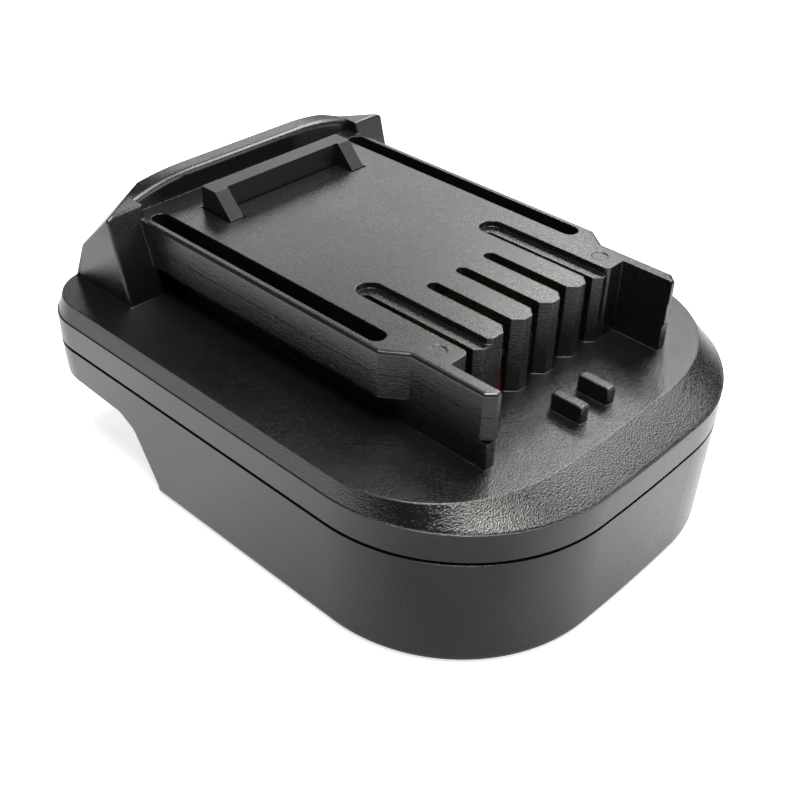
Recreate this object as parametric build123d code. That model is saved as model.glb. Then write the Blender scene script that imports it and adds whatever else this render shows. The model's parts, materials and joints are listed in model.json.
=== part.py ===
from build123d import *
import math
import os

# Battery adapter for cordless tools. Its upper side is the foot that slides into the tool,
# its underside is the bay that slides onto a battery of another make.
# X points to the contact end, Z up, origin in the middle of the underside. Millimetres.

# Flange outline seen from above, shared by both shells
flange_length = 98.4
flange_width = 78.0
front_arch = 2.0
front_corner_radius = 27.9
rear_corner_radius = 9.5

# Height of the joint of the shells, and heights of the steps of the upper cover above it
parting_level = 20.5
skirt_height = 5.1
shoulder_height = 2.9
rail_clearance = 4.4
rail_low_height = 4.3
rail_top_height = 4.0
hood_rise = 2.1
crown_rise = 1.8

# Walls, fits and the overrun of every cut
shell_wall = 2.2
ledge_wall = 2.3
deck_wall = 2.4
seat_gap = 0.1
slide_gap = 0.3
overrun = 6.0

# Rim, shoulder and joint of the two shells
rim_step = 0.15
shoulder_slope = 15
shoulder_radius = 1.4
groove_height = 0.6
groove_depth = 0.8
lip_height = 1.9
lip_wall = 1.2

# Rails, horns and the webs that carry them
rail_half_width = 25.3
rail_jog_length = 3.7
rail_seam_step = 0.15
rail_top_radius = 0.6
rail_low_radius = 0.8
horn_half_width = 22.57
horn_width = 2.17
horn_length = 9.1
horn_tip_chamfer = 1.4
front_ledge = 13.4
web_step = 0.47
web_tip_step = 0.4
tower_wall = 0.5

# Comb of fingers between the horns
comb_jog_gap = 5.5
comb_core_length = 18.7
comb_front_wall = 2.1
finger_depth = 5.6
slot_pitch = 6.6
slot_width = 2.05
slot_length = 16.5
nose_length = 1.45
nose_width = 1.4
corner_block_width = 4.0
wide_slot_width = 4.4
wide_slot_length = 23.5
wide_slot_step = 1.0
step_nose_length = 1.1
step_nose_width = 1.25
small_nose = 0.7
block_corner_radius = 1.1
side_slot_inset = 2.8
side_slot_width = 3.06
side_slot_rear_inset = 13.6
side_slot_jog_gap = 1.35
side_slot_depth = 6.7
ejector_mark_setback = 3.5
ejector_mark_inset = 1.3
ejector_mark_radius = 1.3
ejector_mark_depth = 0.12

# Two small ribs on the front ledge
nub_overlap = 3.1
nub_length = 5.7
nub_y = 3.3
nub_width = 2.0
nub_height = 2.9
nub_edge_radius = 0.4

# Rear hood with its two wings
wing_reach = 5.9
wing_overlap = 1.1
crown_half_width = 12.0
hood_foot_inset = 2.2
hood_top_inset = 7.2
hood_wall_inset = 10.8
hood_wall_radius = 1.1
wing_top_inset = 12.8
wing_foot_inset = 16.8
facet_top_y = 19.5
facet_front_inset = 12.9
facet_front_drop = 2.0
facet_low_drop = 10.0
hood_edge_radius = 0.45
hood_core_wall = 2.2

# U-shaped catch of the latch slider, and its opening in the deck
catch_inset = 16.9
catch_thickness = 3.0
catch_half_width = 15.2
catch_leg_width = 2.7
catch_leg_top_length = 0.4
catch_leg_foot_length = 4.1
latch_travel = 4.2
slider_plate_rear_reach = 1.9
slider_plate_front_reach = 3.2
slider_plate_side_reach = 1.4
slider_plate_thickness = 3.1
arm_half_width = 7.0
arm_thickness = 2.4
arm_engagement = 1.6
skirt_thickness = 1.2
skirt_side_inset = 2.6
skirt_drop = 8.0

# Release button on the rear face
button_half_width = 12.0
button_height = 4.8
button_drop = 6.9
button_back_inset = 7.3
button_stand = 0.8
button_ledge = 1.2
button_ledge_height = 1.3
button_edge_radius = 0.5
button_wall = 1.2
window_foot = 0.4

# Latch springs and the plate that carries them
wire_radius = 0.3
coil_radius = 2.5
coil_turns = 6
post_y = 9.0
post_setback = 2.7
post_radius = 1.7
post_height = 2.4
retainer_rise = 0.8
retainer_thickness = 2.2
retainer_rear_reach = 0.8
retainer_front_reach = 7.4
retainer_half_width = 15.0
retainer_boss_inset = 3.0
retainer_boss_side_inset = 3.4

# Lower housing and its draft towards the underside
side_draft = 1.0
front_draft = 0.5
foot_radius = 1.7
floor_drop = 3.0
floor_wall = 2.0
rear_wall_height = 5.6
rear_slope_fall = 1.2
rear_slope_inset = 21.2
step_top_inset = 24.6
step_top_fall = 2.0
step_length = 4.5
step_foot_level = 2.2
step_radius = 3.0

# Battery bay under the lower housing
bay_side_wall = 10.0
bay_front_wall = 8.7
bay_rail_width = 3.0
bay_rail_level = 6.5
bay_corner_radius = 3.0
pocket_inset = 13.2
pocket_length = 12.0
pocket_half_width = 9.0
pocket_depth = 3.6
core_rear_gap = 6.1
core_front_gap = 7.0
core_wall = 2.4

# Fasteners
housing_screw_radius = 1.45
housing_head_radius = 2.7
housing_head_height = 2.0
housing_screw_length = 9.5
front_screw_inset = 25.2
front_screw_side_inset = 5.6
rear_screw_inset = 13.2
rear_screw_side_inset = 5.4
boss_wall = 1.5
small_screw_radius = 1.1
small_head_radius = 2.1
small_head_height = 1.5
small_screw_length = 6.0
drive_share = 0.45
drive_depth = 0.9

# Boards and what they carry
board_rear_gap = 1.1
board_riser_gap = 0.6
board_side_inset = 14.5
board_standoff = 5.1
board_thickness = 1.6
board_corner_radius = 2.0
board_screw_inset = 4.0
contact_board_setback = 6.9
contact_board_side_gap = 3.7
contact_board_height = 6.7
transistor_inset = 11.5
transistor_y = 13.5
transistor_length = 9.0
transistor_width = 10.0
transistor_height = 4.4
chip_inset = 16.5
chip_size = 7.0
chip_height = 1.0
capacitor_inset = 4.2
capacitor_radius = 3.15
capacitor_height = 9.0
resistor_length = 3.2
resistor_width = 1.6
resistor_height = 0.6
resistor_inset = 23.1
resistor_pitch = 3.4
resistor_count = 6

# Spring contacts for the blades of the tool
fork_leaf = 0.4
fork_gap = 0.8
fork_setback = 14.7
fork_length = 10.6
fork_top_drop = 2.3
fork_height = 3.3
fork_mouth = 2.6
fork_pinch = 0.15

# Terminal block and blades for the battery
block_length = 12.0
block_half_width = 17.0
block_height = 11.5
block_edge_radius = 1.0
blade_thickness = 0.8
blade_length = 23.5
blade_height = 5.8
blade_ceiling_gap = 2.9
blade_point = 1.2
blade_y = 11.0
riser_length = 3.4
riser_rise = 2.5
riser_setback = 5.5
terminal_screw_setback = 3.5
terminal_screw_y = 5.5

# Leads from the blades to the boards
power_wire_radius = 0.65
signal_wire_radius = 0.45
bend_share = 0.45

# Levels of the upper cover and of what follows it
front_x = flange_length / 2
rear_x = -front_x
half_width = flange_width / 2
groove_half = groove_height / 2
rim_level = parting_level + skirt_height
ledge_level = rim_level + shoulder_height
rail_level = ledge_level + rail_clearance
rail_seam_level = rail_level + rail_low_height
deck_level = rail_seam_level + rail_top_height
hood_shoulder_level = deck_level + hood_rise
hood_level = hood_shoulder_level + crown_rise
ledge_underside = ledge_level - ledge_wall
deck_underside = deck_level - deck_wall
finger_underside = deck_level - finger_depth
side_slot_floor = deck_level - side_slot_depth
nub_top = ledge_level + nub_height

# Places of the comb and the horns, from the front edge
horn_tip_x = front_x - front_ledge
horn_inner_y = horn_half_width - horn_width
web_half_width = horn_half_width - web_step
tower_core_half_width = horn_inner_y - tower_wall
comb_front_x = horn_tip_x - horn_length
comb_core_rear_x = comb_front_x - comb_core_length
rail_jog_front_x = comb_front_x - comb_jog_gap
rail_jog_rear_x = rail_jog_front_x - rail_jog_length
slot_rear_x = comb_front_x - slot_length
wide_slot_rear_x = comb_front_x - wide_slot_length
wide_slot_outer_y = horn_inner_y - corner_block_width
wide_slot_inner_y = wide_slot_outer_y - wide_slot_width
side_slot_y = rail_half_width - side_slot_inset
side_slot_rear_x = rear_x + side_slot_rear_inset
side_slot_front_x = rail_jog_rear_x - side_slot_jog_gap
ejector_mark_x = comb_front_x - ejector_mark_setback
ejector_mark_y = horn_inner_y - ejector_mark_inset
nub_rear_x = horn_tip_x - nub_overlap

# Places of the hood, from the rear edge
hood_half_width = rail_half_width + wing_reach
hood_recess_half_width = rail_half_width - wing_overlap
hood_rear_foot_x = rear_x + hood_foot_inset
hood_rear_top_x = rear_x + hood_top_inset
hood_wall_x = rear_x + hood_wall_inset
wing_top_x = rear_x + wing_top_inset
wing_foot_x = rear_x + wing_foot_inset
facet_front_x = rear_x + facet_front_inset
facet_front_level = hood_level - facet_front_drop
facet_low_level = hood_level - facet_low_drop
hood_lean = (hood_rear_top_x - hood_rear_foot_x) / (hood_level - ledge_level)
wing_lean = (wing_foot_x - wing_top_x) / (hood_shoulder_level - ledge_level)

# Places of the latch, its button and its springs
catch_rear_x = rear_x + catch_inset
catch_front_x = catch_rear_x + catch_thickness
catch_leg_inner_y = catch_half_width - catch_leg_width
catch_leg_top_x = catch_front_x + catch_leg_top_length
catch_leg_foot_x = catch_front_x + catch_leg_foot_length
slider_plate_rear_x = catch_rear_x - slider_plate_rear_reach
slider_plate_front_x = catch_leg_foot_x + slider_plate_front_reach
slider_plate_half_width = catch_half_width + slider_plate_side_reach
slider_plate_low = deck_underside - slide_gap - slider_plate_thickness
skirt_half_width = slider_plate_half_width - skirt_side_inset
skirt_low_level = slider_plate_low - skirt_drop
button_back_x = rear_x + button_back_inset
button_top_level = hood_level - button_drop
button_low_level = button_top_level - button_height
button_wall_x = button_back_x + slide_gap + button_wall
ledge_low_level = button_top_level - button_ledge_height
window_low_level = ledge_level + window_foot
arm_tip_x = button_back_x - arm_engagement
arm_top = slider_plate_low + arm_thickness
post_x = catch_rear_x + post_setback
retainer_low_level = parting_level + retainer_rise
retainer_top = retainer_low_level + retainer_thickness
retainer_rear_x = slider_plate_rear_x - retainer_rear_reach
retainer_front_x = slider_plate_front_x + retainer_front_reach
retainer_boss_x = retainer_front_x - retainer_boss_inset
retainer_boss_y = retainer_half_width - retainer_boss_side_inset
spring_low = retainer_top + wire_radius
spring_top = slider_plate_low - wire_radius - seat_gap

# Places in the lower housing
floor_level = parting_level - floor_drop
bay_ceiling = floor_level - floor_wall
rear_underside_level = parting_level - rear_wall_height
rear_underside_slope_level = rear_underside_level - rear_slope_fall
rear_underside_slope_x = rear_x + rear_slope_inset
step_top_x = rear_x + step_top_inset
step_top_level = rear_underside_slope_level - step_top_fall
step_foot_x = step_top_x + step_length
bay_half_width = half_width - bay_side_wall
bay_front_x = front_x - bay_front_wall
bay_mouth_half_width = bay_half_width - bay_rail_width
pocket_rear_x = rear_x + pocket_inset
pocket_front_x = pocket_rear_x + pocket_length
front_screw_x = front_x - front_screw_inset
front_screw_y = half_width - front_screw_side_inset
rear_screw_x = rear_x + rear_screw_inset
rear_screw_y = half_width - rear_screw_side_inset
core_rear_x = step_foot_x + core_rear_gap
core_front_x = front_screw_x - core_front_gap
core_inner_y = bay_half_width + core_wall
housing_head_level = bay_ceiling + floor_wall / 2 - housing_head_height

# Places of the terminal block, the boards and the contacts
block_rear_x = bay_front_x - block_length
block_low_level = bay_ceiling - block_height
blade_top_level = bay_ceiling - blade_ceiling_gap
blade_low_level = blade_top_level - blade_height
riser_front_x = bay_front_x - riser_setback
riser_x = riser_front_x - riser_length / 2
riser_top_level = floor_level + riser_rise
blade_rear_x = riser_front_x - blade_length
terminal_screw_x = bay_front_x - terminal_screw_setback
board_rear_x = retainer_front_x + board_rear_gap
board_front_x = riser_front_x - riser_length - board_riser_gap
board_half_width = half_width - board_side_inset
board_level = floor_level + board_standoff
board_top = board_level + board_thickness
board_screw_rear_x = board_rear_x + board_screw_inset
board_screw_front_x = board_front_x - board_screw_inset
board_screw_y = board_half_width - board_screw_inset
contact_board_x = comb_front_x - contact_board_setback
contact_board_front_x = contact_board_x + board_thickness
contact_board_half_width = tower_core_half_width - contact_board_side_gap
contact_board_top = board_top + contact_board_height
transistor_x = board_rear_x + transistor_inset
chip_x = board_rear_x + chip_inset
capacitor_x = board_rear_x + capacitor_inset
resistor_x = board_rear_x + resistor_inset
fork_rear_x = comb_front_x - fork_setback
fork_front_x = fork_rear_x + fork_length
fork_pinch_x = fork_front_x - fork_mouth
fork_top = deck_level - fork_top_drop
fork_low = fork_top - fork_height
lead_level = (board_top + ledge_underside) / 2


def slab(x_from, x_to, y_from, y_to, z_from, z_to):
    body = Box(x_to - x_from, y_to - y_from, z_to - z_from)
    return Pos((x_from + x_to) / 2, (y_from + y_to) / 2, (z_from + z_to) / 2) * body


def rod(x, y, z_from, z_to, radius):
    return Pos(x, y, (z_from + z_to) / 2) * Cylinder(radius, z_to - z_from)


def plan_prism(points, z_from, z_to):
    face = make_face(Polyline(*points, close=True))
    return Pos(0, 0, z_from) * extrude(face, z_to - z_from, dir=(0, 0, 1))


def side_prism(points, y_from, y_to):
    face = make_face(Polyline(*[(x, 0, z) for x, z in points], close=True))
    return Pos(0, y_from, 0) * extrude(face, y_to - y_from, dir=(0, 1, 0))


def mirrored(shape):
    return shape + mirror(shape, Plane.XZ)


def outline(side_inset, front_inset):
    # The rear edge moves in with the sides
    side = half_width - side_inset
    front = front_x - front_inset
    rear = side_inset - front_x
    chord = front - front_arch
    arch = ThreePointArc((chord, -side), (front, 0), (chord, side))
    rest = Polyline((chord, side), (rear, side), (rear, -side), (chord, -side))
    face = make_face([arch, rest])
    rear_corners = face.vertices().filter_by(lambda corner: corner.X < 0)
    face = fillet(rear_corners, rear_corner_radius - side_inset)
    front_corners = face.vertices().filter_by(lambda corner: corner.X > chord - seat_gap)
    return fillet(front_corners, front_corner_radius - side_inset)


def flange_prism(inset, z_from, z_to):
    return Pos(0, 0, z_from) * extrude(outline(inset, inset), z_to - z_from, dir=(0, 0, 1))


def flange():
    skirt = flange_prism(0, parting_level + groove_half, rim_level)
    inner_skirt = flange_prism(groove_depth, parting_level, rim_level)
    rise = ledge_level - rim_level
    shoulder = extrude(outline(rim_step, rim_step), rise, dir=(0, 0, 1), taper=shoulder_slope)
    shoulder = fillet(shoulder.edges().group_by(Axis.Z)[-1], shoulder_radius)
    hollow = flange_prism(shell_wall, parting_level - overrun, ledge_underside)
    return skirt + inner_skirt + Pos(0, 0, rim_level) * shoulder - hollow


def rail_plan(step):
    # Outline of the deck with its two horns, moved in by the step at the outer sides
    rail = rail_half_width - step
    horn = horn_half_width - step
    tip = horn_tip_x - step
    near = [
        (hood_wall_x, rail),
        (rail_jog_rear_x, rail),
        (rail_jog_front_x, horn),
        (tip - horn_tip_chamfer, horn),
        (tip, horn - horn_tip_chamfer),
        (tip, horn_inner_y),
        (comb_front_x, horn_inner_y),
    ]
    return near + [(x, -y) for x, y in reversed(near)]


def outer_edges(shape, level):
    # Edges at this level that run along the outer sides and tips of the rails
    ring = shape.edges().filter_by_position(Axis.Z, level - seat_gap, level + seat_gap)
    beside = [edge for edge in ring if abs(edge.center().Y) > horn_inner_y + seat_gap]
    return [edge for edge in beside if edge.center().X > hood_wall_x + seat_gap]


def rails():
    upper = plan_prism(rail_plan(0), rail_seam_level, deck_level)
    upper = fillet(outer_edges(upper, deck_level), rail_top_radius)
    lower = plan_prism(rail_plan(rail_seam_step), rail_level, rail_seam_level)
    lower = fillet(outer_edges(lower, rail_level), rail_low_radius)
    web_tip = horn_tip_x - web_tip_step
    body = slab(hood_wall_x, comb_front_x, -web_half_width, web_half_width, ledge_level, rail_level)
    web = slab(hood_wall_x, web_tip, horn_inner_y, web_half_width, ledge_level, rail_level)
    return upper + lower + body + mirrored(web)


def tower_core():
    core = tower_core_half_width
    low = parting_level
    plain = slab(hood_wall_x, comb_core_rear_x, -core, core, low, deck_underside)
    comb_back_x = comb_front_x - comb_front_wall
    comb = slab(comb_core_rear_x, comb_back_x, -core, core, low, finger_underside)
    return plain + comb


def slot_cut(rear_x, y_from, y_to, low):
    radius = (y_to - y_from) / 2
    centre = (y_from + y_to) / 2
    top = deck_level + overrun
    straight = slab(rear_x + radius, comb_front_x + overrun, y_from, y_to, low, top)
    return straight + rod(rear_x + radius, centre, low, top, radius)


def nose_cut(y, side, length, width, low):
    # Bevels one vertical front edge of a finger; side is 1 where the finger lies towards +Y
    beyond = comb_front_x + overrun
    points = [
        (comb_front_x - length, y),
        (comb_front_x, y + side * width),
        (beyond, y + side * width),
        (beyond, y - side * seat_gap),
        (comb_front_x - length, y - side * seat_gap),
    ]
    return plan_prism(points, low, deck_level + overrun)


def block_corner_cut():
    # Leaves the inner front corner of the outermost block rounded
    radius = block_corner_radius
    inner = wide_slot_outer_y
    low = ledge_level
    top = deck_level + overrun
    corner = slab(comb_front_x - radius, comb_front_x + seat_gap, inner, inner + radius, low, top)
    return corner - rod(comb_front_x - radius, inner + radius, low, top, radius)


def comb_cuts():
    cuts = []
    step_level = deck_level - wide_slot_step
    for index in (-1, 0, 1):
        low_y = index * slot_pitch - slot_width / 2
        high_y = low_y + slot_width
        cuts.append(slot_cut(slot_rear_x, low_y, high_y, ledge_level))
        cuts.append(nose_cut(low_y, -1, nose_length, nose_width, ledge_level))
        cuts.append(nose_cut(high_y, 1, nose_length, nose_width, ledge_level))
    for low_y in (-wide_slot_outer_y, wide_slot_inner_y):
        high_y = low_y + wide_slot_width
        gap_y = low_y + slot_width
        gap_rear_x = wide_slot_rear_x + (wide_slot_width - slot_width) / 2
        cuts.append(slot_cut(wide_slot_rear_x, low_y, high_y, step_level))
        cuts.append(slot_cut(gap_rear_x, low_y, gap_y, ledge_level))
        cuts.append(nose_cut(gap_y, 1, step_nose_length, step_nose_width, ledge_level))
    cuts.append(nose_cut(-wide_slot_inner_y, 1, small_nose, small_nose, step_level))
    cuts.append(nose_cut(wide_slot_inner_y, -1, nose_length, nose_width, ledge_level))
    return cuts


def side_slots():
    radius = side_slot_width / 2
    top = deck_level + overrun
    low = side_slot_floor
    rear = side_slot_rear_x + radius
    front = side_slot_front_x - radius
    near_y = side_slot_y - radius
    straight = slab(rear, front, near_y, near_y + side_slot_width, low, top)
    ends = rod(rear, side_slot_y, low, top, radius) + rod(front, side_slot_y, low, top, radius)
    return mirrored(straight + ends)


def tower():
    body = rails() - tower_core()
    for cut in comb_cuts():
        body -= cut
    body -= mirrored(block_corner_cut())
    top = deck_level + overrun
    mark = rod(ejector_mark_x, ejector_mark_y, deck_level - ejector_mark_depth, top, ejector_mark_radius)
    return body - side_slots() - mirrored(mark)


def nub():
    low_y = nub_y - nub_width / 2
    body = slab(nub_rear_x, nub_rear_x + nub_length, low_y, low_y + nub_width, ledge_level, nub_top)
    above = body.edges().filter_by_position(Axis.Z, ledge_level + seat_gap, nub_top + seat_gap)
    return fillet(above, nub_edge_radius)


def wing_x(level):
    return wing_foot_x - (level - ledge_level) * wing_lean


def hood_rear_x(level):
    return hood_rear_foot_x + (level - ledge_level) * hood_lean


def crown_face():
    # Flat in the middle; beside it the top falls in an arc to the level of the wings
    top = hood_level
    low = hood_shoulder_level
    half = crown_half_width
    inner = hood_recess_half_width
    outer = hood_half_width
    left = TangentArc((0, half, top), (0, inner, low), tangent=(0, 1, 0))
    right = TangentArc((0, -half, top), (0, -inner, low), tangent=(0, -1, 0))
    flat = Line((0, -half, top), (0, half, top))
    corners = [(inner, low), (outer, low), (outer, ledge_level)]
    corners += [(-y, z) for y, z in reversed(corners)]
    rest = Polyline(*[(0, y, z) for y, z in corners])
    return make_face([flat, left, rest, right])


def hood():
    side = [
        (hood_rear_foot_x, ledge_level),
        (hood_rear_top_x, hood_level),
        (wing_x(hood_level), hood_level),
        (wing_foot_x, ledge_level),
    ]
    body = side_prism(side, -hood_half_width, hood_half_width)
    length = wing_foot_x - hood_rear_foot_x
    body &= Pos(hood_rear_foot_x, 0, 0) * extrude(crown_face(), length, dir=(1, 0, 0))
    recess = hood_recess_half_width
    body -= slab(hood_wall_x, wing_foot_x, -recess, recess, ledge_level, hood_level)
    for sign in (-1, 1):
        corner = Vector(hood_rear_top_x, sign * facet_top_y, hood_level)
        front = Vector(facet_front_x, sign * hood_half_width, facet_front_level)
        low = Vector(hood_rear_x(facet_low_level), sign * hood_half_width, facet_low_level)
        normal = (front - corner).cross(low - corner) * sign
        body = body.split(Plane(origin=corner, z_dir=normal), keep=Keep.BOTTOM)
    # Edges along X are seams or lie in the recess; the top of its wall gets a larger radius
    above = body.edges().filter_by(lambda edge: edge.center().Z > ledge_level + seat_gap)
    across = above.filter_by(Axis.X, reverse=True)
    outer = across.filter_by(lambda edge: abs(edge.center().X - hood_wall_x) > seat_gap)
    body = fillet(outer, hood_edge_radius)
    wall_top = body.edges().filter_by(lambda edge: abs(edge.center().X - hood_wall_x) < seat_gap)
    wall_top = wall_top.filter_by(lambda edge: edge.center().Z > hood_shoulder_level)
    return fillet(wall_top, hood_wall_radius)


def hood_core():
    # Room behind the catch for the slider's skirt, and a lightening pocket on each side of the button
    wall = hood_core_wall
    core = tower_core_half_width
    middle = slab(button_wall_x, hood_wall_x, -core, core, parting_level, deck_underside)
    side = [
        (hood_rear_foot_x + wall, parting_level),
        (hood_rear_foot_x + wall, ledge_level),
        (hood_rear_x(deck_underside) + wall, deck_underside),
        (button_wall_x, deck_underside),
        (button_wall_x, parting_level),
    ]
    pocket = side_prism(side, button_half_width + slide_gap + button_wall, core)
    return middle + mirrored(pocket)


def arm_slot():
    # The arm of the slider passes the wall behind the button and moves down in it
    half = arm_half_width + slide_gap
    low = slider_plate_low - latch_travel - slide_gap
    rear = button_back_x - overrun
    return slab(rear, hood_wall_x, -half, half, low, arm_top + slide_gap)


def catch_opening(gap):
    # Seen from above: a bar with a leg at each end that runs forward
    rear = catch_rear_x - gap
    outer = catch_half_width + gap
    inner = catch_leg_inner_y - gap
    near = [
        (rear, outer),
        (catch_leg_foot_x + gap, outer),
        (catch_leg_foot_x + gap, inner),
        (catch_front_x + gap, inner),
    ]
    points = near + [(x, -y) for x, y in reversed(near)]
    return plan_prism(points, deck_underside - overrun, deck_level + overrun)


def button_window(gap):
    half = button_half_width + gap
    back = button_back_x + gap
    low = window_low_level
    return slab(hood_rear_foot_x - overrun, back, -half, half, low, button_top_level + gap)


def screw_places():
    near = [(front_screw_x, front_screw_y), (rear_screw_x, rear_screw_y)]
    return near + [(x, -y) for x, y in near]


def upper_cover():
    boss_radius = housing_screw_radius + boss_wall
    body = flange() + tower() + hood() + mirrored(nub())
    body -= hood_core()
    body -= tower_core()
    body -= catch_opening(slide_gap)
    body -= button_window(slide_gap)
    body -= arm_slot()
    for x, y in screw_places():
        body += rod(x, y, parting_level, ledge_underside, boss_radius)
    small_boss = small_screw_radius + boss_wall
    for y in (-retainer_boss_y, retainer_boss_y):
        body += rod(retainer_boss_x, y, retainer_top, deck_underside, small_boss)
        low = retainer_top - overrun
        body -= rod(retainer_boss_x, y, low, retainer_top + small_screw_length, small_screw_radius)
    for x, y in screw_places():
        top = housing_head_level + housing_head_height + housing_screw_length
        body -= rod(x, y, parting_level - overrun, top + seat_gap, housing_screw_radius)
    return body


def housing_shell():
    top = parting_level - groove_half
    lower = outline(side_draft, front_draft)
    upper = Pos(0, 0, top) * outline(0, 0)
    body = loft([lower, upper], ruled=True)
    body = fillet(body.edges().group_by(Axis.Z)[0], foot_radius)
    body += flange_prism(groove_depth, top, parting_level)
    lip_inset = shell_wall + seat_gap
    lip = flange_prism(lip_inset, floor_level, parting_level + lip_height)
    lip -= flange_prism(lip_inset + lip_wall, floor_level, parting_level + lip_height)
    for x, y in screw_places():
        room = housing_screw_radius + boss_wall + seat_gap
        lip -= rod(x, y, parting_level, parting_level + overrun, room)
    return body + lip


def rear_relief():
    # Everything below the raised rear part, with a rounded inner corner
    far = -front_x - overrun
    points = [
        (far, rear_underside_level),
        (rear_underside_slope_x, rear_underside_slope_level),
        (step_top_x, step_top_level),
        (step_foot_x, step_foot_level),
        (step_foot_x, -overrun),
        (far, -overrun),
    ]
    cut = side_prism(points, -half_width - overrun, half_width + overrun)
    crease = cut.edges().filter_by(Axis.Y).filter_by(
        lambda edge: rear_underside_slope_x - seat_gap < edge.center().X < step_top_x + seat_gap
    )
    return fillet(crease, step_radius)


def bay():
    far = -front_x - overrun
    wide = slab(far, bay_front_x, -bay_half_width, bay_half_width, bay_rail_level, bay_ceiling)
    upright = wide.edges().filter_by(Axis.Z).filter_by(lambda edge: edge.center().X > 0)
    wide = fillet(upright, bay_corner_radius)
    half = bay_mouth_half_width
    mouth = slab(far, bay_front_x, -half, half, -overrun, bay_rail_level)
    upright = mouth.edges().filter_by(Axis.Z).filter_by(lambda edge: edge.center().X > 0)
    mouth = fillet(upright, bay_corner_radius)
    half = pocket_half_width
    pocket = slab(pocket_rear_x, pocket_front_x, -half, half, bay_ceiling, bay_ceiling + pocket_depth)
    return wide + mouth + pocket


def housing_cores():
    # Lightening pockets in the thick side walls, open to the inside
    outer = half_width - side_draft - core_wall
    side = slab(core_rear_x, core_front_x, core_inner_y, outer, core_wall, floor_level + overrun)
    return mirrored(side)


def board_screw_places():
    rows = (board_screw_rear_x, board_screw_front_x)
    return [(x, y) for x in rows for y in (-board_screw_y, board_screw_y)]


def riser_slots():
    cuts = []
    half = blade_thickness / 2 + seat_gap
    rear = riser_front_x - riser_length - seat_gap
    for y in (-blade_y, 0, blade_y):
        front = riser_front_x + seat_gap
        cuts.append(slab(rear, front, y - half, y + half, bay_ceiling - overrun, floor_level + overrun))
    return cuts


def lower_housing():
    inner = flange_prism(shell_wall + seat_gap + lip_wall, floor_level, parting_level + overrun)
    half = pocket_half_width + floor_wall
    bump_top = bay_ceiling + pocket_depth + floor_wall
    rear = pocket_rear_x - floor_wall
    front = pocket_front_x + floor_wall
    body = housing_shell() - inner
    body += slab(rear, front, -half, half, floor_level, bump_top)
    for x, y in screw_places():
        body += rod(x, y, floor_level, parting_level, housing_screw_radius + boss_wall)
    for x, y in board_screw_places():
        body += rod(x, y, floor_level, board_level, small_screw_radius + boss_wall)
        body -= rod(x, y, floor_level, board_level + overrun, small_screw_radius)
    body -= rear_relief()
    for x, y in screw_places():
        wide = housing_head_radius + seat_gap
        head_top = housing_head_level + housing_head_height
        body -= rod(x, y, -overrun, head_top, wide)
        body -= rod(x, y, head_top - seat_gap, parting_level + overrun, housing_screw_radius + seat_gap)
    body = body - bay() - housing_cores()
    for cut in riser_slots():
        body -= cut
    for y in (-terminal_screw_y, terminal_screw_y):
        wide = small_screw_radius + seat_gap
        body -= rod(terminal_screw_x, y, bay_ceiling - overrun, floor_level + overrun, wide)
    return body


def latch_slider():
    plate_top = slider_plate_low + slider_plate_thickness
    half = slider_plate_half_width
    rear = slider_plate_rear_x
    plate = slab(rear, slider_plate_front_x, -half, half, slider_plate_low, plate_top)
    bar = slab(catch_rear_x, catch_front_x, -catch_half_width, catch_half_width, plate_top, hood_level)
    leg_side = [
        (catch_front_x, plate_top),
        (catch_leg_foot_x, plate_top),
        (catch_leg_foot_x, deck_level),
        (catch_leg_top_x, hood_level),
        (catch_front_x, hood_level),
    ]
    leg = side_prism(leg_side, catch_leg_inner_y, catch_half_width)
    skirt_rear = hood_wall_x - skirt_thickness
    arm = slab(arm_tip_x, rear, -arm_half_width, arm_half_width, slider_plate_low, arm_top)
    skirt = slab(skirt_rear, hood_wall_x, -skirt_half_width, skirt_half_width, skirt_low_level, arm_top)
    return plate + bar + mirrored(leg) + arm + skirt


def release_button():
    # Its face leans with the hood and ends in a ledge for the thumb
    face_low = hood_rear_x(button_low_level) - button_stand
    face_top = hood_rear_x(button_top_level) - button_stand
    ledge_x = face_top - button_ledge
    side = [
        (face_low, button_low_level),
        (hood_rear_x(ledge_low_level) - button_stand, ledge_low_level),
        (ledge_x, ledge_low_level),
        (ledge_x, button_top_level),
        (button_back_x, button_top_level),
        (button_back_x, button_low_level),
    ]
    body = side_prism(side, -button_half_width, button_half_width)
    outer = [edge for edge in body.edges() if edge.center().X < ledge_x + seat_gap]
    body = fillet(outer, button_edge_radius)
    half = arm_half_width + seat_gap
    low = slider_plate_low - seat_gap
    return body - slab(arm_tip_x - seat_gap, button_back_x, -half, half, low, arm_top + seat_gap)


def coil_points():
    # Half-turn stations of the helix, each with its direction
    stations = []
    rise = (spring_top - spring_low) / coil_turns
    for step in range(2 * coil_turns + 1):
        angle = math.pi * step
        place = Vector(coil_radius * math.cos(angle), coil_radius * math.sin(angle), rise * step / 2)
        heading = Vector(-math.sin(angle), math.cos(angle), rise / (2 * math.pi * coil_radius))
        stations.append((place, heading.normalized()))
    return stations


def biarc(start, start_heading, end, end_heading):
    chord = end - start
    total = start_heading + end_heading
    along = chord.dot(total)
    spread = 2 * (1 - start_heading.dot(end_heading))
    reach = (math.sqrt(along * along + spread * chord.dot(chord)) - along) / spread
    middle = (start + start_heading * reach + end - end_heading * reach) / 2
    first = TangentArc(start, middle, tangent=start_heading)
    second = TangentArc(middle, end, tangent=middle - (start + start_heading * reach))
    return [first, second]


def latch_spring(y):
    stations = coil_points()
    arcs = []
    for (start, heading), (end, end_heading) in zip(stations, stations[1:]):
        arcs += biarc(start, heading, end, end_heading)
    path = Wire(arcs)
    start, heading = stations[0]
    section = Plane(origin=start, z_dir=heading) * Circle(wire_radius)
    return Pos(post_x, y, spring_low) * sweep(section, path=path)


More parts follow.
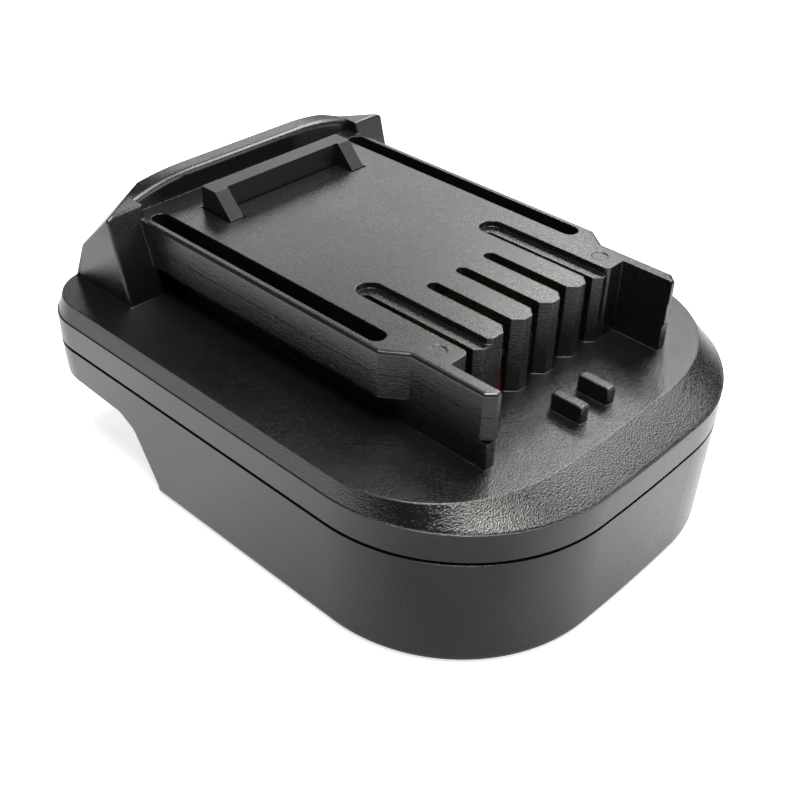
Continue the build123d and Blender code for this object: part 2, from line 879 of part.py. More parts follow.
def least_coil_gap():
    # Distance between neighbouring turns, less the wire itself
    rise = (spring_top - spring_low) / coil_turns
    steps_per_turn = 48
    least = coil_radius
    for step in range(steps_per_turn // 2, 2 * steps_per_turn):
        angle = 2 * math.pi * step / steps_per_turn
        across = 2 * coil_radius * math.sin(angle / 2)
        height = rise * step / steps_per_turn
        least = min(least, math.hypot(across, height) - 2 * wire_radius)
    return least


def latch_retainer():
    half = retainer_half_width
    plate = slab(retainer_rear_x, retainer_front_x, -half, half, retainer_low_level, retainer_top)
    plate = fillet(plate.edges().filter_by(Axis.Z), board_corner_radius)
    window = post_y - coil_radius - shell_wall
    front = post_x + post_radius + coil_radius
    rear = retainer_rear_x + shell_wall
    plate -= slab(rear, front, -window, window, retainer_low_level, retainer_top)
    post = rod(post_x, post_y, retainer_top, retainer_top + post_height, post_radius)
    post = chamfer(post.edges().group_by(Axis.Z)[-1], seat_gap + slide_gap)
    low = retainer_low_level
    hole = rod(retainer_boss_x, retainer_boss_y, low, retainer_top, small_screw_radius + seat_gap)
    return plate + mirrored(post) - mirrored(hole)


def screw(x, y, seat, way, radius, length, head_radius, head_height):
    # The shank points along way, 1 for up and -1 for down; the head lies on the other side of the seat
    shank = Pos(0, 0, length / 2) * Cylinder(radius, length)
    head = Pos(0, 0, -head_height / 2) * Cylinder(head_radius, head_height)
    head = fillet(head.edges().group_by(Axis.Z)[0], head_height / 4)
    drive = extrude(RegularPolygon(head_radius * drive_share, 6), drive_depth, dir=(0, 0, 1))
    body = shank + head - Pos(0, 0, -head_height) * drive
    if way < 0:
        body = Rot(180, 0, 0) * body
    return Pos(x, y, seat) * body


def small_screw(x, y, seat, way):
    sizes = (small_screw_radius, small_screw_length, small_head_radius, small_head_height)
    return screw(x, y, seat, way, *sizes)


def housing_screws():
    seat = housing_head_level + housing_head_height
    sizes = (housing_screw_radius, housing_screw_length, housing_head_radius, housing_head_height)
    return Compound([screw(x, y, seat, 1, *sizes) for x, y in screw_places()])


def retainer_screws():
    places = [(retainer_boss_x, y) for y in (-retainer_boss_y, retainer_boss_y)]
    return Compound([small_screw(x, y, retainer_low_level, 1) for x, y in places])


def board_screws():
    return Compound([small_screw(x, y, board_top, -1) for x, y in board_screw_places()])


def terminal_screws():
    places = [(terminal_screw_x, y) for y in (-terminal_screw_y, terminal_screw_y)]
    return Compound([small_screw(x, y, floor_level, -1) for x, y in places])


def circuit_board():
    half = board_half_width
    board = slab(board_rear_x, board_front_x, -half, half, board_level, board_top)
    board = fillet(board.edges().filter_by(Axis.Z), board_corner_radius)
    for x, y in board_screw_places():
        board -= rod(x, y, board_level, board_top, small_screw_radius + seat_gap)
    return board


def contact_board():
    half = contact_board_half_width
    return slab(contact_board_x, contact_board_front_x, -half, half, board_top, contact_board_top)


def box_under_board(x, y, length, width, height):
    near_x = x - length / 2
    near_y = y - width / 2
    return slab(near_x, near_x + length, near_y, near_y + width, board_level - height, board_level)


def power_transistors():
    sizes = (transistor_length, transistor_width, transistor_height)
    places = [(transistor_x, y) for y in (-transistor_y, transistor_y)]
    return Compound([box_under_board(x, y, *sizes) for x, y in places])


def control_chip():
    return box_under_board(chip_x, 0, chip_size, chip_size, chip_height)


def capacitor():
    top = board_top + capacitor_height
    body = rod(capacitor_x, 0, board_top, top, capacitor_radius)
    return fillet(body.edges().group_by(Axis.Z)[-1], seat_gap + slide_gap)


def resistors():
    sizes = (resistor_length, resistor_width, resistor_height)
    offsets = [resistor_pitch * (index - (resistor_count - 1) / 2) for index in range(resistor_count)]
    return Compound([box_under_board(resistor_x, y, *sizes) for y in offsets])


def tool_contact(y):
    # A strip that stands on the board and carries two leaves, drawn together near their front
    inner = fork_gap / 2
    outer = inner + fork_leaf
    strip = slab(fork_rear_x, fork_rear_x + fork_leaf, y - outer, y + outer, board_top, fork_top)
    leaf = [
        (fork_rear_x, inner),
        (fork_pinch_x, inner - fork_pinch),
        (fork_front_x, inner),
        (fork_front_x, outer),
        (fork_pinch_x, outer - fork_pinch),
        (fork_rear_x, outer),
    ]
    leaves = mirrored(plan_prism(leaf, fork_low, fork_top))
    return strip + Pos(0, y, 0) * leaves


def blade_slot(y, gap):
    # The blade and its riser, or with a gap the room for them in the block
    half = blade_thickness / 2 + gap
    front = riser_front_x + gap
    low = blade_low_level - gap
    blade = slab(block_rear_x, front, y - half, y + half, low, blade_top_level + gap)
    rear = riser_front_x - riser_length - gap
    return blade + slab(rear, front, y - half, y + half, low, bay_ceiling)


def battery_blade(y):
    half = blade_thickness / 2
    rear = riser_front_x - riser_length
    outline_points = [
        (blade_rear_x, blade_low_level + blade_point),
        (blade_rear_x + blade_point, blade_low_level),
        (riser_front_x, blade_low_level),
        (riser_front_x, riser_top_level),
        (rear, riser_top_level),
        (rear, blade_top_level),
        (blade_rear_x + blade_point, blade_top_level),
        (blade_rear_x, blade_top_level - blade_point),
    ]
    return side_prism(outline_points, y - half, y + half)


def terminal_block():
    front = bay_front_x - seat_gap
    half = block_half_width
    top = bay_ceiling - seat_gap
    body = slab(block_rear_x, front, -half, half, block_low_level, top)
    rounded = body.edges().filter_by(lambda edge: edge.center().Z < top - seat_gap)
    body = fillet(rounded, block_edge_radius)
    for y in (-blade_y, 0, blade_y):
        body -= blade_slot(y, seat_gap)
    for y in (-terminal_screw_y, terminal_screw_y):
        low = floor_level - small_screw_length - seat_gap
        body -= rod(terminal_screw_x, y, low, bay_ceiling, small_screw_radius + seat_gap)
    return body


def bend_radii(points):
    # Each bend is as large as its two runs allow
    radii = []
    for before, corner, after in zip(points, points[1:], points[2:]):
        first = Vector(*corner) - Vector(*before)
        second = Vector(*after) - Vector(*corner)
        half_turn = math.radians(first.get_angle(second)) / 2
        radii.append(bend_share * min(first.length, second.length) / math.tan(half_turn))
    return radii


def lead(points, radius):
    radii = bend_radii(points)
    path = FilletPolyline(*points, radius=radii)
    start = Vector(*points[0])
    section = Plane(origin=start, z_dir=Vector(*points[1]) - start) * Circle(radius)
    print("lead radii", [round(value, 2) for value in radii], "wire", radius)
    body = sweep(section, path=path)
    print("lead volume", round(body.volume, 3), "of", round(math.pi * radius**2 * path.length, 3))
    return body


def positive_lead():
    points = [
        (33.3, -11.0, 20.0),
        (33.3, -11.0, 25.2),
        (22.4, -5.2, 25.2),
        (22.4, 0.4, 33.4),
        (15.8, 3.4, 33.2),
        (15.8, 3.4, 24.2),
    ]
    return lead(points, power_wire_radius)


def short_lead(y, radius):
    points = [
        (riser_x, y, riser_top_level),
        (riser_x, y, lead_level),
        (contact_board_front_x, y, lead_level),
    ]
    return lead(points, radius)


def main():
    os.makedirs("parts", exist_ok=True)
    wide_contact_y = wide_slot_inner_y + slot_width / 2
    far_contact_y = slot_width / 2 - wide_slot_outer_y
    parts = {
        "upper_cover": upper_cover(),
        "lower_housing": lower_housing(),
        "housing_screws": housing_screws(),
        "latch_slider": latch_slider(),
        "release_button": release_button(),
        "latch_spring_left": latch_spring(post_y),
        "latch_spring_right": latch_spring(-post_y),
        "latch_retainer": latch_retainer(),
        "retainer_screws": retainer_screws(),
        "circuit_board": circuit_board(),
        "board_screws": board_screws(),
        "contact_board": contact_board(),
        "power_transistors": power_transistors(),
        "control_chip": control_chip(),
        "capacitor": capacitor(),
        "resistors": resistors(),
        "power_contact_left": tool_contact(wide_contact_y),
        "power_contact_right": tool_contact(far_contact_y),
        "signal_contact_left": tool_contact(slot_pitch),
        "signal_contact_middle": tool_contact(0),
        "signal_contact_right": tool_contact(-slot_pitch),
        "terminal_block": terminal_block(),
        "terminal_screws": terminal_screws(),
        "positive_blade": battery_blade(-blade_y),
        "negative_blade": battery_blade(blade_y),
        "signal_blade": battery_blade(0),
        "positive_lead": positive_lead(),
        "negative_lead": short_lead(blade_y, power_wire_radius),
        "signal_lead": short_lead(0, signal_wire_radius),
    }
    for name, shape in parts.items():
        export_step(shape, f"parts/{name}.step")
    print("least gap between spring turns", round(least_coil_gap(), 2))


main()
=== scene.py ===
import json
import math

import bpy
from mathutils import Matrix, Vector


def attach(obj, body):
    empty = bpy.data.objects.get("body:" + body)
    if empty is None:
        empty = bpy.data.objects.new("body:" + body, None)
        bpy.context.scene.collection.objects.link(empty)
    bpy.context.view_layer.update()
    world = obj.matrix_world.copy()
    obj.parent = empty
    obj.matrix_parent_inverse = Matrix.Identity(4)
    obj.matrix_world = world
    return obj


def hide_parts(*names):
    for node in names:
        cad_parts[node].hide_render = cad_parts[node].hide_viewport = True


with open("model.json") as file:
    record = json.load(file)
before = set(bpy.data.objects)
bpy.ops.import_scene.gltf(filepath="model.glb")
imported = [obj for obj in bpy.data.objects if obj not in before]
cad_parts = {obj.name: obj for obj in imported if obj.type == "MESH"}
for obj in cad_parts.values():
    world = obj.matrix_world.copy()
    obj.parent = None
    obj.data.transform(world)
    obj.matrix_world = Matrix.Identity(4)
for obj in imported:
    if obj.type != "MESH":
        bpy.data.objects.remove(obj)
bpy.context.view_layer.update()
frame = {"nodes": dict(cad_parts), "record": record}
nodes = frame["nodes"]
print("frame loaded:", len(nodes), "nodes")


# Detail and roughness of each kind of noise, and the span that most of a noise's values lie in
noiseKinds = {"soft": (2.0, 0.5), "pitted": (2.0, 0.6), "streaked": (4.0, 0.6)}
noiseSpan = (0.3, 0.7)


# Helpers for node trees

def newMaterial(name):
    material = bpy.data.materials.new(name)
    material.use_nodes = True
    tree = material.node_tree
    tree.nodes.clear()
    output = tree.nodes.new("ShaderNodeOutputMaterial")
    shader = tree.nodes.new("ShaderNodeBsdfPrincipled")
    tree.links.new(shader.outputs["BSDF"], output.inputs["Surface"])
    return material, tree, shader


def objectPlace(tree, scale=(1, 1, 1)):
    place = tree.nodes.new("ShaderNodeTexCoord")
    mapping = tree.nodes.new("ShaderNodeMapping")
    mapping.inputs["Scale"].default_value = scale
    tree.links.new(place.outputs["Object"], mapping.inputs["Vector"])
    return mapping.outputs["Vector"]


def noise(tree, vector, scale, kind="soft"):
    detail, roughness = noiseKinds[kind]
    node = tree.nodes.new("ShaderNodeTexNoise")
    node.inputs["Scale"].default_value = scale
    node.inputs["Detail"].default_value = detail
    node.inputs["Roughness"].default_value = roughness
    tree.links.new(vector, node.inputs["Vector"])
    return node.outputs["Fac"]


def ranged(tree, value, fromLow, fromHigh, toLow, toHigh):
    node = tree.nodes.new("ShaderNodeMapRange")
    node.inputs["From Min"].default_value = fromLow
    node.inputs["From Max"].default_value = fromHigh
    node.inputs["To Min"].default_value = toLow
    node.inputs["To Max"].default_value = toHigh
    tree.links.new(value, node.inputs["Value"])
    return node.outputs["Result"]


def fromNoise(tree, value, toLow, toHigh):
    return ranged(tree, value, *noiseSpan, toLow, toHigh)


def math2(tree, operation, first, second):
    node = tree.nodes.new("ShaderNodeMath")
    node.operation = operation
    for index, value in enumerate((first, second)):
        if isinstance(value, (int, float)):
            node.inputs[index].default_value = value
        else:
            tree.links.new(value, node.inputs[index])
    return node.outputs[0]


def mixColours(tree, factor, first, second):
    mix = tree.nodes.new("ShaderNodeMix")
    mix.data_type = "RGBA"
    mix.inputs["A"].default_value = (*first, 1)
    mix.inputs["B"].default_value = (*second, 1)
    tree.links.new(factor, mix.inputs["Factor"])
    return mix.outputs["Result"]


def addBump(tree, shader, height, values):
    bump = tree.nodes.new("ShaderNodeBump")
    bump.inputs["Strength"].default_value = values["bump"]
    bump.inputs["Distance"].default_value = values["bumpDistance"]
    tree.links.new(height, bump.inputs["Height"])
    tree.links.new(bump.outputs["Normal"], shader.inputs["Normal"])
    return bump


def newGroup(name, inputs, outputs):
    group = bpy.data.node_groups.new(name, "ShaderNodeTree")
    for label, kind, value in inputs:
        socket = group.interface.new_socket(label, in_out="INPUT", socket_type=kind)
        socket.default_value = value
    for label, kind in outputs:
        group.interface.new_socket(label, in_out="OUTPUT", socket_type=kind)
    start = group.nodes.new("NodeGroupInput")
    end = group.nodes.new("NodeGroupOutput")
    return group, start, end


# Spark-eroded grain of the mould: fine pits, some clumps, and faint flow marks of the plastic.
# Between the levels coarseTop and fineFrom it turns finer and duller, as the deck is
grainValues = {
    "pits": 4200, "clumps": 2100, "clumpShare": 0.2, "flow": 70,
    "coarseTop": 0.0385, "fineFrom": 0.0408, "fineShare": 0.25, "fineDull": 0.1,
    "clumpGloss": 0.04, "flowGloss": 0.03, "flowTone": (0.9, 1.1), "pitTone": 0.12,
}


def grainGroup():
    inputs = [
        ("Size", "NodeSocketFloat", 1.0),
        ("Depth", "NodeSocketFloat", 1.0),
        ("Base", "NodeSocketColor", (0.02, 0.02, 0.021, 1)),
        ("Gloss", "NodeSocketFloat", 0.4),
    ]
    outputs = [("Color", "NodeSocketColor"), ("Roughness", "NodeSocketFloat"), ("Height", "NodeSocketFloat")]
    group, start, end = newGroup("mouldGrain", inputs, outputs)
    place = group.nodes.new("ShaderNodeTexCoord")
    sized = group.nodes.new("ShaderNodeVectorMath")
    sized.operation = "SCALE"
    group.links.new(place.outputs["Object"], sized.inputs[0])
    group.links.new(start.outputs["Size"], sized.inputs["Scale"])
    vector = sized.outputs[0]
    pits = noise(group, vector, grainValues["pits"], "pitted")
    clumps = noise(group, vector, grainValues["clumps"])
    flow = noise(group, place.outputs["Object"], grainValues["flow"])
    parts = group.nodes.new("ShaderNodeSeparateXYZ")
    group.links.new(place.outputs["Object"], parts.inputs[0])
    level = parts.outputs["Z"]
    levels = (grainValues["coarseTop"], grainValues["fineFrom"])
    height = math2(group, "ADD", pits, math2(group, "MULTIPLY", clumps, grainValues["clumpShare"]))
    fade = ranged(group, level, *levels, 1.0, grainValues["fineShare"])
    height = math2(group, "MULTIPLY", math2(group, "MULTIPLY", height, fade), start.outputs["Depth"])
    group.links.new(height, end.inputs["Height"])
    clumpGloss = fromNoise(group, clumps, -grainValues["clumpGloss"], grainValues["clumpGloss"])
    flowGloss = fromNoise(group, flow, -grainValues["flowGloss"], grainValues["flowGloss"])
    dull = ranged(group, level, *levels, 0.0, grainValues["fineDull"])
    rough = math2(group, "ADD", start.outputs["Gloss"], clumpGloss)
    rough = math2(group, "ADD", rough, math2(group, "ADD", flowGloss, dull))
    group.links.new(rough, end.inputs["Roughness"])
    flowTone = fromNoise(group, flow, *grainValues["flowTone"])
    pitTone = fromNoise(group, pits, -grainValues["pitTone"], grainValues["pitTone"])
    shade = group.nodes.new("ShaderNodeVectorMath")
    shade.operation = "SCALE"
    group.links.new(start.outputs["Base"], shade.inputs[0])
    group.links.new(math2(group, "ADD", flowTone, pitTone), shade.inputs["Scale"])
    group.links.new(shade.outputs[0], end.inputs["Color"])
    return group


grain = grainGroup()


# Plastics: edge is the radius that the light sees on a sharp edge
plasticFinish = {"edgeSamples": 6, "ior": 1.56}
coverLook = {
    "base": (0.005, 0.005, 0.0048), "gloss": 0.19, "size": 1.0, "depth": 1.0,
    "bump": 1.0, "bumpDistance": 0.00007, "edge": 0.00028, "specular": 0.8, "sheen": (1, 1, 0.96),
}
housingLook = {
    "base": (0.0055, 0.0055, 0.0053), "gloss": 0.24, "size": 1.3, "depth": 0.4,
    "bump": 0.6, "bumpDistance": 0.00005, "edge": 0.00014, "specular": 0.8, "sheen": (1, 1, 0.96),
}
latchLook = {
    "base": (0.0055, 0.0055, 0.0053), "gloss": 0.3, "size": 1.2, "depth": 0.8,
    "bump": 0.8, "bumpDistance": 0.00006, "edge": 0.00014, "specular": 0.7, "sheen": (1, 1, 0.97),
}
blockLook = {
    "base": (0.02, 0.02, 0.022), "gloss": 0.5, "size": 1.6, "depth": 0.5,
    "bump": 0.6, "bumpDistance": 0.00004, "edge": 0.00012, "specular": 0.5, "sheen": (1, 1, 1),
}
packageLook = {
    "base": (0.02, 0.02, 0.022), "gloss": 0.5, "size": 2.0, "depth": 0.5,
    "bump": 0.5, "bumpDistance": 0.00003, "edge": 0.0001, "specular": 0.5, "sheen": (1, 1, 1),
}


def plastic(name, values):
    material, tree, shader = newMaterial(name)
    group = tree.nodes.new("ShaderNodeGroup")
    group.node_tree = grain
    group.inputs["Size"].default_value = values["size"]
    group.inputs["Depth"].default_value = values["depth"]
    group.inputs["Base"].default_value = (*values["base"], 1)
    group.inputs["Gloss"].default_value = values["gloss"]
    bump = addBump(tree, shader, group.outputs["Height"], values)
    edge = tree.nodes.new("ShaderNodeBevel")
    edge.samples = plasticFinish["edgeSamples"]
    edge.inputs["Radius"].default_value = values["edge"]
    tree.links.new(edge.outputs["Normal"], bump.inputs["Normal"])
    tree.links.new(group.outputs["Color"], shader.inputs["Base Color"])
    tree.links.new(group.outputs["Roughness"], shader.inputs["Roughness"])
    shader.inputs["Specular IOR Level"].default_value = values["specular"]
    shader.inputs["Specular Tint"].default_value = (*values["sheen"], 1)
    shader.inputs["IOR"].default_value = plasticFinish["ior"]
    return material


# Metals: drawn or plated, with fine streaks that an uneven stretch draws out along one direction
metalFinish = {"patchSpan": (0.35, 0.75), "patchShare": 0.8, "bump": 0.2, "bumpDistance": 0.00002}
zincLook = {
    "base": (0.62, 0.62, 0.6), "dark": (0.42, 0.42, 0.4), "stretch": (1, 1, 1),
    "streaks": 2400, "patches": 500, "gloss": (0.25, 0.42),
}
blackSteelLook = {
    "base": (0.03, 0.03, 0.032), "dark": (0.015, 0.015, 0.016), "stretch": (1, 1, 1),
    "streaks": 2600, "patches": 600, "gloss": (0.3, 0.45),
}
springLook = {
    "base": (0.55, 0.55, 0.56), "dark": (0.38, 0.38, 0.4), "stretch": (1, 1, 1),
    "streaks": 3000, "patches": 400, "gloss": (0.18, 0.3),
}
brassLook = {
    "base": (0.5, 0.37, 0.17), "dark": (0.3, 0.21, 0.09), "stretch": (60, 60, 2400),
    "streaks": 1.0, "patches": 300, "gloss": (0.2, 0.36),
}


def metal(name, values):
    material, tree, shader = newMaterial(name)
    streaks = noise(tree, objectPlace(tree, values["stretch"]), values["streaks"], "streaked")
    patches = noise(tree, objectPlace(tree), values["patches"])
    share = ranged(tree, patches, *metalFinish["patchSpan"], 0.0, metalFinish["patchShare"])
    tree.links.new(mixColours(tree, share, values["base"], values["dark"]), shader.inputs["Base Color"])
    tree.links.new(fromNoise(tree, streaks, *values["gloss"]), shader.inputs["Roughness"])
    addBump(tree, shader, streaks, metalFinish)
    shader.inputs["Metallic"].default_value = 1.0
    return material


# Circuit boards: solder mask with faint copper runs under it
boardLook = {
    "base": (0.006, 0.11, 0.055), "copper": (0.02, 0.2, 0.09), "runs": 420, "runGap": 0.06,
    "fine": 3000, "gloss": (0.2, 0.34), "bump": 0.2, "bumpDistance": 0.00003,
}


def boardMaterial():
    material, tree, shader = newMaterial("solderMask")
    vector = objectPlace(tree)
    cells = tree.nodes.new("ShaderNodeTexBrick")
    cells.inputs["Scale"].default_value = boardLook["runs"]
    cells.inputs["Mortar Size"].default_value = boardLook["runGap"]
    tree.links.new(vector, cells.inputs["Vector"])
    runs = cells.outputs["Fac"]
    colour = mixColours(tree, runs, boardLook["copper"], boardLook["base"])
    tree.links.new(colour, shader.inputs["Base Color"])
    fine = noise(tree, vector, boardLook["fine"])
    tree.links.new(fromNoise(tree, fine, *boardLook["gloss"]), shader.inputs["Roughness"])
    addBump(tree, shader, runs, boardLook)
    return material


# Soft wire insulation and the capacitor's sleeve
sleeveFinish = {
    "fine": 2800, "tone": 350, "darker": 0.75, "glossSpread": 0.06, "bump": 0.2, "bumpDistance": 0.00003,
}
sleeveLooks = {
    "capacitorSleeve": {"base": (0.02, 0.03, 0.08), "gloss": 0.35},
    "redInsulation": {"base": (0.5, 0.012, 0.012), "gloss": 0.42},
    "blackInsulation": {"base": (0.015, 0.015, 0.016), "gloss": 0.45},
    "whiteInsulation": {"base": (0.72, 0.7, 0.66), "gloss": 0.45},
}


def sleeve(name):
    material, tree, shader = newMaterial(name)
    vector = objectPlace(tree)
    fine = noise(tree, vector, sleeveFinish["fine"])
    tone = fromNoise(tree, noise(tree, vector, sleeveFinish["tone"]), 0.0, 1.0)
    base = sleeveLooks[name]["base"]
    dark = [value * sleeveFinish["darker"] for value in base]
    tree.links.new(mixColours(tree, tone, base, dark), shader.inputs["Base Color"])
    gloss = sleeveLooks[name]["gloss"]
    spread = sleeveFinish["glossSpread"]
    tree.links.new(fromNoise(tree, fine, gloss - spread, gloss + spread), shader.inputs["Roughness"])
    addBump(tree, shader, fine, sleeveFinish)
    return material


slotMaterials = {
    "shell_plastic": plastic("coverPlastic", coverLook),
    "latch_plastic": plastic("latchPlastic", latchLook),
    "block_plastic": plastic("blockPlastic", blockLook),
    "component_black": plastic("packagePlastic", packageLook),
    "black_steel": metal("blackenedSteel", blackSteelLook),
    "screw_steel": metal("zincSteel", zincLook),
    "spring_steel": metal("springSteel", springLook),
    "contact_brass": metal("contactBrass", brassLook),
    "board_green": boardMaterial(),
    "capacitor_sleeve": sleeve("capacitorSleeve"),
    "red_sleeve": sleeve("redInsulation"),
    "black_sleeve": sleeve("blackInsulation"),
    "white_sleeve": sleeve("whiteInsulation"),
}
housingPlastic = plastic("housingPlastic", housingLook)


def dressNodes():
    slots = {part["node"]: part["material_slot"] for part in frame["record"]["subparts"]}
    for name, node in nodes.items():
        material = housingPlastic if name == "lower_housing" else slotMaterials[slots[name]]
        node.data.materials.clear()
        node.data.materials.append(material)


dressNodes()
print("CAD nodes dressed")


# The cover with its real shoulder: narrow along the sides and the rear, a wide slope in front.
# A corner is its centre along X and Y and its radius. The bands say how far in from the outline vertices move
shoulderShape = {
    "frontCorner": (0.0213, 0.0111, 0.0279), "rearCorner": (0.0397, 0.0295, 0.0095),
    "frontBand": 0.0036, "rearBand": 0.0023, "wallBand": 0.001,
    "ledge": 0.0285, "wall": 0.0029, "step": 0.00015, "fillet": 0.0014, "draft": 15,
    "sideWidth": 0.00115, "frontWidth": 0.0064,
    "rimPlace": (0.000494, 0.025526), "rimRound": 0.00035, "rounded": 0.75,
    "near": 0.00002, "mergeGap": 0.000002, "smoothAngle": 17,
}


def shoulderPoint(share, turn):
    # Inset and height of the new shoulder. Share runs up the old fillet; turn, in radians, is 0 in front
    shape = shoulderShape
    width = shape["sideWidth"] + (shape["frontWidth"] - shape["sideWidth"]) * math.cos(turn) ** 2
    across = width - shape["rimPlace"][0]
    up = shape["ledge"] - shape["rimPlace"][1]
    slope = math.atan2(up, across) - math.asin(shape["rimRound"] / math.hypot(across, up))
    draft = math.radians(shape["draft"])
    tilt = draft + min(share / shape["rounded"], 1) * (math.pi / 2 - slope - draft)
    inset = shape["rimPlace"][0] - shape["rimRound"] * math.cos(tilt)
    height = shape["rimPlace"][1] + shape["rimRound"] * math.sin(tilt)
    risen = max(share - shape["rounded"], 0) / (1 - shape["rounded"])
    return inset + (width - inset) * risen, height + (shape["ledge"] - height) * risen


def shapeShoulder(cover):
    shape = shoulderShape
    draft = math.radians(shape["draft"])
    filletFoot = shape["ledge"] - shape["fillet"]
    wallTop = filletFoot + shape["fillet"] * math.sin(draft)
    wallInset = shape["step"] + (shape["wall"] - shape["ledge"] + wallTop) * math.tan(draft)
    rim = shape["ledge"] - shape["wall"]
    near = shape["near"]
    for vertex in cover.data.vertices:
        x, y, z = vertex.co
        if z < rim + near or z > shape["ledge"] + near:
            continue
        centreX, centreY, bend = shape["frontCorner"] if x > 0 else shape["rearCorner"]
        out = Vector((max(abs(x) - centreX, 0), max(abs(y) - centreY, 0)))
        band = shape["frontBand"] if x > 0 else shape["rearBand"]
        onWall = z < wallTop - near
        if bend - out.length > (shape["wallBand"] if onWall else band):
            continue
        out.normalize()
        turn = math.acos(min(out.x, 1)) if x > 0 else math.pi / 2
        out = Vector((math.copysign(out.x, x), math.copysign(out.y, y)))
        angle = draft if onWall else math.asin(min((z - filletFoot) / shape["fillet"], 1))
        share = max((angle - draft) / (math.pi / 2 - draft), 0)
        oldInset = wallInset + shape["fillet"] * (math.cos(draft) - math.cos(angle))
        inset, height = shoulderPoint(share, turn)
        if onWall:
            risen = (z - rim) / (wallTop - rim)
            oldInset = shape["step"] + (z - rim) * math.tan(draft)
            inset = shape["step"] + (inset - shape["step"]) * risen
            height = rim + (height - rim) * risen
        vertex.co = (x - out.x * (inset - oldInset), y - out.y * (inset - oldInset), height)


def makeCover():
    bpy.ops.object.select_all(action="DESELECT")
    cover = bpy.data.objects.new("shapedCover", nodes["upper_cover"].data.copy())
    bpy.context.collection.objects.link(cover)
    cover.select_set(True)
    bpy.context.view_layer.objects.active = cover
    bpy.ops.mesh.customdata_custom_splitnormals_clear()
    bpy.ops.object.mode_set(mode="EDIT")
    bpy.ops.mesh.select_all(action="SELECT")
    bpy.ops.mesh.remove_doubles(threshold=shoulderShape["mergeGap"])
    bpy.ops.object.mode_set(mode="OBJECT")
    shapeShoulder(cover)
    bpy.ops.object.shade_smooth_by_angle(angle=math.radians(shoulderShape["smoothAngle"]))
    bpy.ops.object.modifier_add(type="WEIGHTED_NORMAL")
    cover.modifiers[-1].keep_sharp = True
    bpy.ops.object.modifier_apply(modifier=cover.modifiers[-1].name)
    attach(cover, "root")
    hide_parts("upper_cover")


makeCover()
print("cover shaped")


# White floor that keeps the shadow, and a surround that is white to the camera and dim to the object.
# What the floor shows in a mirror is darker round shadePlace, near the front corner
stageLook = {
    "floor": 3.0, "mottle": 40, "gloss": (0.75, 0.85), "white": 0.92, "seenLift": 0.75,
    "mirroredLift": 0.45, "mirroredWhite": 0.6, "shadedWhite": 0.25, "fill": 0.035,
    "shadePlace": (0.058, -0.052, 0), "shadeFrom": 0.02, "shadeTo": 0.075, "shadeShare": 0.1,
}


def makeFloor():
    bpy.ops.object.select_all(action="DESELECT")
    bpy.ops.mesh.primitive_plane_add(size=stageLook["floor"], location=(0, 0, 0))
    floor = bpy.context.object
    floor.name = "floor"
    material, tree, shader = newMaterial("floorWhite")
    fine = noise(tree, objectPlace(tree), stageLook["mottle"])
    tree.links.new(fromNoise(tree, fine, *stageLook["gloss"]), shader.inputs["Roughness"])
    rays = tree.nodes.new("ShaderNodeLightPath")
    shader.inputs["Emission Color"].default_value = (1, 1, 1, 1)
    seen = math2(tree, "MULTIPLY", rays.outputs["Is Camera Ray"], stageLook["seenLift"])
    mirrored = math2(tree, "MAXIMUM", rays.outputs["Is Glossy Ray"], rays.outputs["Is Transmission Ray"])
    offset = tree.nodes.new("ShaderNodeVectorMath")
    offset.operation = "DISTANCE"
    offset.inputs[1].default_value = stageLook["shadePlace"]
    tree.links.new(objectPlace(tree), offset.inputs[0])
    away = ranged(
        tree, offset.outputs["Value"], stageLook["shadeFrom"], stageLook["shadeTo"],
        stageLook["shadeShare"] * stageLook["mirroredLift"], stageLook["mirroredLift"],
    )
    nearby = ranged(
        tree, offset.outputs["Value"], stageLook["shadeFrom"], stageLook["shadeTo"],
        stageLook["white"] - stageLook["shadedWhite"], stageLook["white"] - stageLook["mirroredWhite"],
    )
    shown = math2(tree, "SUBTRACT", stageLook["white"], math2(tree, "MULTIPLY", mirrored, nearby))
    tree.links.new(shown, shader.inputs["Base Color"])
    lift = math2(tree, "ADD", seen, math2(tree, "MULTIPLY", mirrored, away))
    tree.links.new(lift, shader.inputs["Emission Strength"])
    floor.data.materials.append(material)


def makeWorld():
    world = bpy.data.worlds.new("surround")
    bpy.context.scene.world = world
    world.use_nodes = True
    tree = world.node_tree
    tree.nodes.clear()
    output = tree.nodes.new("ShaderNodeOutputWorld")
    even = tree.nodes.new("ShaderNodeBackground")
    even.inputs["Color"].default_value = (1, 1, 1, 1)
    rays = tree.nodes.new("ShaderNodeLightPath")
    strength = math2(tree, "MAXIMUM", rays.outputs["Is Camera Ray"], stageLook["fill"])
    tree.links.new(strength, even.inputs["Strength"])
    tree.links.new(even.outputs[0], output.inputs["Surface"])


makeFloor()
makeWorld()


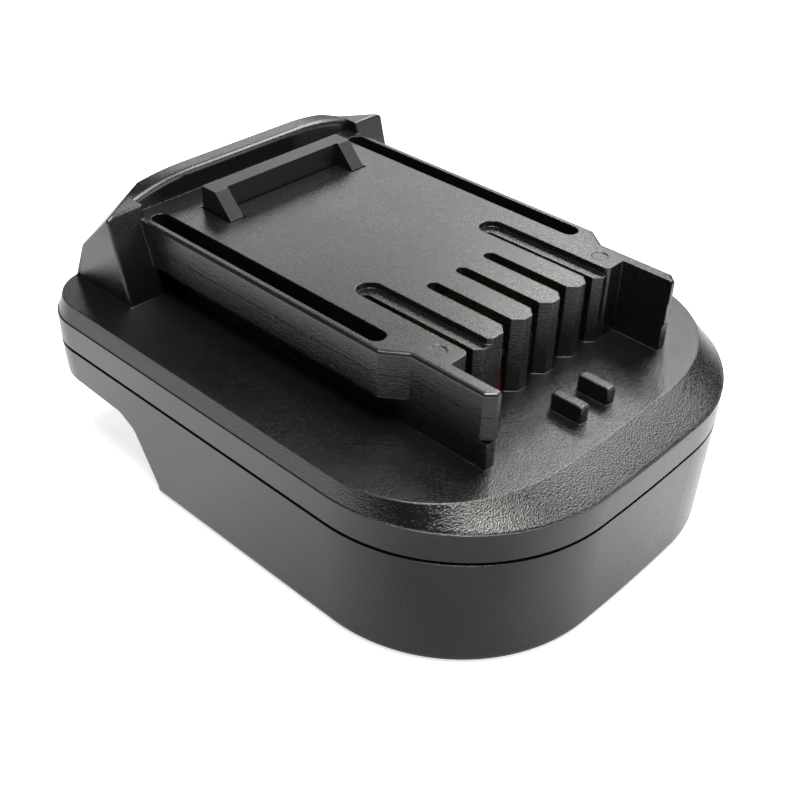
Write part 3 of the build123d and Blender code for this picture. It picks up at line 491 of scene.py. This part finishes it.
# Soft lamps: two high up for the shoulder, three behind that the deck and the ledge reflect, one at each side
lamps = [
    {"name": "overhead", "place": (0.0, 0.04, 0.8), "size": (0.5, 0.5), "power": 3.8},
    {"name": "frontHigh", "place": (0.19, -0.15, 0.76), "size": (0.27, 0.27), "power": 4.6},
    {"name": "backWide", "place": (-0.473, 0.441, 0.316), "size": (0.44, 0.19), "power": 0.62},
    {"name": "backBright", "place": (-0.305, 0.532, 0.514), "size": (0.1, 0.13), "power": 0.55},
    {"name": "backHigh", "place": (-0.02, 0.514, 0.613), "size": (0.36, 0.34), "power": 3.6},
    {"name": "leftSide", "place": (-0.75, -0.4, 0.3), "size": (0.4, 0.4), "power": 0.1},
    {"name": "rightSide", "place": (0.7, 0.35, 0.4), "size": (0.4, 0.4), "power": 1.2},
]


def addLamp(values):
    data = bpy.data.lights.new(values["name"], "AREA")
    data.shape = "RECTANGLE"
    data.size, data.size_y = values["size"]
    data.energy = values["power"]
    lamp = bpy.data.objects.new(values["name"], data)
    lamp.location = values["place"]
    lamp.rotation_euler = (-Vector(values["place"])).to_track_quat("-Z", "Y").to_euler()
    bpy.context.collection.objects.link(lamp)


for lampValues in lamps:
    addLamp(lampValues)
print("stage and lamps set")


# The photograph's camera, solved from the outline, the rails and the slots
cameraValues = {
    "azimuth": 42.157, "elevation": 36.058, "roll": 1.958, "distance": 0.217949,
    "target": (-0.0068, 0.00663, 0.00393), "focalPixels": 1191.7, "imagePixels": 800,
    "sensor": 36, "clipStart": 0.01,
}


def addCamera():
    turn = math.radians(cameraValues["azimuth"])
    rise = math.radians(cameraValues["elevation"])
    roll = math.radians(cameraValues["roll"])
    back = Vector((math.sin(turn) * math.cos(rise), -math.cos(turn) * math.cos(rise), math.sin(rise)))
    right = Vector((math.cos(turn), math.sin(turn), 0))
    up = back.cross(right)
    side = right * math.cos(roll) + up * math.sin(roll)
    top = up * math.cos(roll) - right * math.sin(roll)
    data = bpy.data.cameras.new("photoCamera")
    data.sensor_width = cameraValues["sensor"]
    data.lens = cameraValues["focalPixels"] * data.sensor_width / cameraValues["imagePixels"]
    data.clip_start = cameraValues["clipStart"]
    camera = bpy.data.objects.new("photoCamera", data)
    matrix = Matrix((side, top, back)).transposed().to_4x4()
    matrix.translation = Vector(cameraValues["target"]) + back * cameraValues["distance"]
    camera.matrix_world = matrix
    bpy.context.collection.objects.link(camera)
    bpy.context.scene.camera = camera


addCamera()
bpy.context.scene.view_settings.view_transform = "Standard"
print("camera set")
